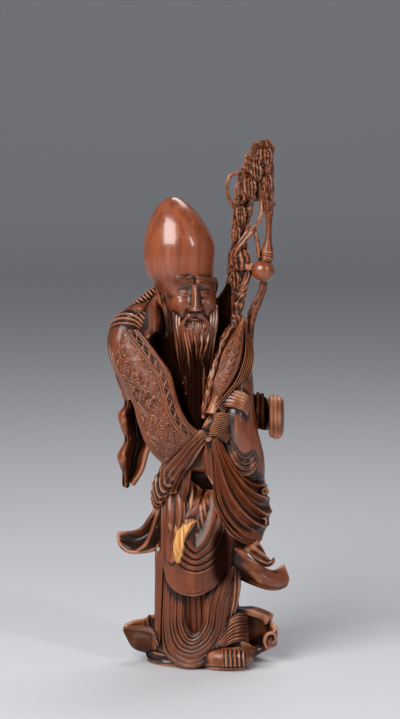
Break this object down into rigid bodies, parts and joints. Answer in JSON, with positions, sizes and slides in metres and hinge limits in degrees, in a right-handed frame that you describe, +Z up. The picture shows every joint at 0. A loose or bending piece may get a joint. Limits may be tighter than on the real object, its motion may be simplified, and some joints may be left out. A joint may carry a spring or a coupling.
{
  "type": "carved wooden figure",
  "caption": "Carved wooden figure of a standing old man with a tall domed head, long beard, gnarled staff with a gourd, and a robe with flying sleeves, sashes and hem.",
  "frame": {"origin": "on the flat underside, below the middle of the robe", "axes": "+Z up through the figure, +X to the viewer's right, the figure faces -Y"},
  "size_m": [0.155, 0.0863, 0.4485],
  "materials": {
    "carved_wood": "reddish-brown hardwood, waxed to a gloss, near black in the grooves"
  },
  "bodies": {
    "root": {"figure": "carved_wood"}
  },
  "joints": []
}
